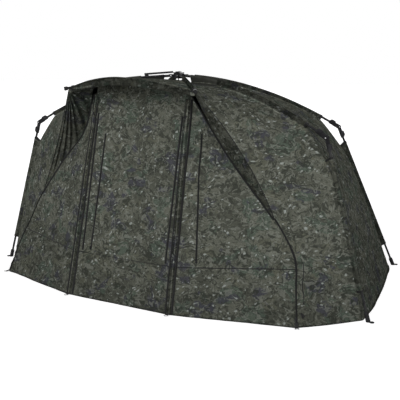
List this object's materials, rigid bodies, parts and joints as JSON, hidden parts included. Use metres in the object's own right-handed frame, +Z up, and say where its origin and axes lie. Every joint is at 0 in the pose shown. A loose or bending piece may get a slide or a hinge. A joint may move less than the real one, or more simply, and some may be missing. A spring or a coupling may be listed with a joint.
{
  "type": "bivvy tent",
  "caption": "One-person fishing bivvy: folding rib frame round a hub, pitched roof with a peak, sloping walls, pleated side curtains, zipped front with a lifting door, and storm poles.",
  "frame": {"origin": "on the ground at the middle of the footprint", "axes": "+X to the tent's right side as seen from the front, +Y from the front panel to the back wall, +Z up"},
  "size_m": [2.6676, 1.6878, 1.2839],
  "materials": {
    "camo_cloth": "matt coated ripstop in a mottled olive, brown and grey print",
    "dark_cloth": "matt dark ripstop",
    "black_alloy": "black anodised tube",
    "black_moulding": "fine-textured black nylon moulding"
  },
  "bodies": {
    "root": {"hub_body": "black_moulding", "hub_cap": "black_moulding", "side_rib_left": "black_alloy", "side_rib_right": "black_alloy", "back_rib_left": "black_alloy", "back_rib_right": "black_alloy", "front_rib_left": "black_alloy", "front_rib_right": "black_alloy", "strut_front_left": "black_alloy", "strut_front_right": "black_alloy", "rib_knuckle_side_left": "black_moulding", "rib_knuckle_side_right": "black_moulding", "rib_knuckle_back_left": "black_moulding", "rib_knuckle_back_right": "black_moulding", "peak_bow": "black_moulding", "roof_front": "camo_cloth", "roof_back": "camo_cloth", "roof_shoulder_left": "camo_cloth", "roof_shoulder_right": "camo_cloth", "roof_side_left": "camo_cloth", "roof_side_right": "camo_cloth", "apex_hook": "black_moulding", "wall_side_left": "camo_cloth", "wall_side_right": "camo_cloth", "wall_front_left": "camo_cloth", "wall_front_right": "camo_cloth", "wall_back": "camo_cloth", "curtain_left": "dark_cloth", "curtain_right": "dark_cloth", "front_panel_left": "camo_cloth", "front_panel_right": "camo_cloth", "kick_panel": "camo_cloth", "front_header": "camo_cloth", "pole_clip_left": "black_moulding", "pole_clip_right": "black_moulding"},
    "side_leg_left": {"leg_knuckle_side_left": "black_moulding", "leg_side_left": "black_alloy", "foot_side_left": "black_moulding"},
    "side_leg_right": {"leg_knuckle_side_right": "black_moulding", "leg_side_right": "black_alloy", "foot_side_right": "black_moulding"},
    "back_leg_left": {"leg_knuckle_back_left": "black_moulding", "leg_back_left": "black_alloy", "foot_back_left": "black_moulding"},
    "back_leg_right": {"leg_knuckle_back_right": "black_moulding", "leg_back_right": "black_alloy", "foot_back_right": "black_moulding"},
    "pole_left": {"storm_pole_upper_left": "black_alloy", "pole_lock_left": "black_moulding"},
    "pole_tip_left": {"storm_pole_lower_left": "black_alloy"},
    "pole_right": {"storm_pole_upper_right": "black_alloy", "pole_lock_right": "black_moulding"},
    "pole_tip_right": {"storm_pole_lower_right": "black_alloy"},
    "door_flap": {"door": "camo_cloth"},
    "zip_left": {"door_zip_slider_left": "black_moulding"},
    "zip_right": {"door_zip_slider_right": "black_moulding"}
  },
  "joints": [
    {"name": "side_leg_fold_right", "type": "hinge", "parent": "root", "child": "side_leg_right", "pos_m": [1.0231, -0.34884, 0.945], "axis": [0.1305, 0.9914, 0], "range_deg": [0, 98], "deforming": ["wall_side_left", "wall_side_right", "wall_front_left", "wall_front_right", "wall_back", "curtain_left", "curtain_right", "front_panel_left", "front_panel_right", "kick_panel"]},
    {"name": "side_leg_fold_left", "type": "hinge", "parent": "root", "child": "side_leg_left", "pos_m": [-1.0231, -0.34884, 0.945], "axis": [0.1305, -0.9914, 0], "range_deg": [0, 98]},
    {"name": "back_leg_fold_right", "type": "hinge", "parent": "root", "child": "back_leg_right", "pos_m": [0.73453, 0.52038, 0.931], "axis": [-0.7071, 0.7071, 0], "range_deg": [0, 93.5]},
    {"name": "back_leg_fold_left", "type": "hinge", "parent": "root", "child": "back_leg_left", "pos_m": [-0.73453, 0.52038, 0.931], "axis": [-0.7071, -0.7071, 0], "range_deg": [0, 93.5]},
    {"name": "storm_pole_swing_left", "type": "hinge", "parent": "root", "child": "pole_left", "pos_m": [-0.30641, -0.57364, 1.14026], "axis": [0.9991, -0.0089, -0.0405], "range_deg": [0, 75]},
    {"name": "storm_pole_slide_left", "type": "slide", "parent": "pole_left", "child": "pole_tip_left", "axis": [0.0414, 0.2155, 0.9756], "range_m": [0, 0.45]},
    {"name": "storm_pole_swing_right", "type": "hinge", "parent": "root", "child": "pole_right", "pos_m": [0.30641, -0.57364, 1.14026], "axis": [0.9991, 0.0089, 0.0405], "range_deg": [0, 75]},
    {"name": "storm_pole_slide_right", "type": "slide", "parent": "pole_right", "child": "pole_tip_right", "axis": [-0.0414, 0.2155, 0.9756], "range_m": [0, 0.45]},
    {"name": "door_lift", "type": "hinge", "parent": "root", "child": "door_flap", "pos_m": [0, -0.61262, 1.04494], "axis": [-1, 0, 0], "range_deg": [0, 75]},
    {"name": "door_zip_left", "type": "slide", "parent": "root", "child": "zip_left", "axis": [0, 0.2157, 0.9765], "range_m": [-0.6, 0.12]},
    {"name": "door_zip_right", "type": "slide", "parent": "root", "child": "zip_right", "axis": [0, 0.2157, 0.9765], "range_m": [-0.6, 0.12]}
  ],
  "couplings": [
    {"joint": "side_leg_fold_left", "follows": "side_leg_fold_right", "ratio": 1},
    {"joint": "back_leg_fold_right", "follows": "side_leg_fold_right", "ratio": 0.95},
    {"joint": "back_leg_fold_left", "follows": "side_leg_fold_right", "ratio": 0.95}
  ]
}
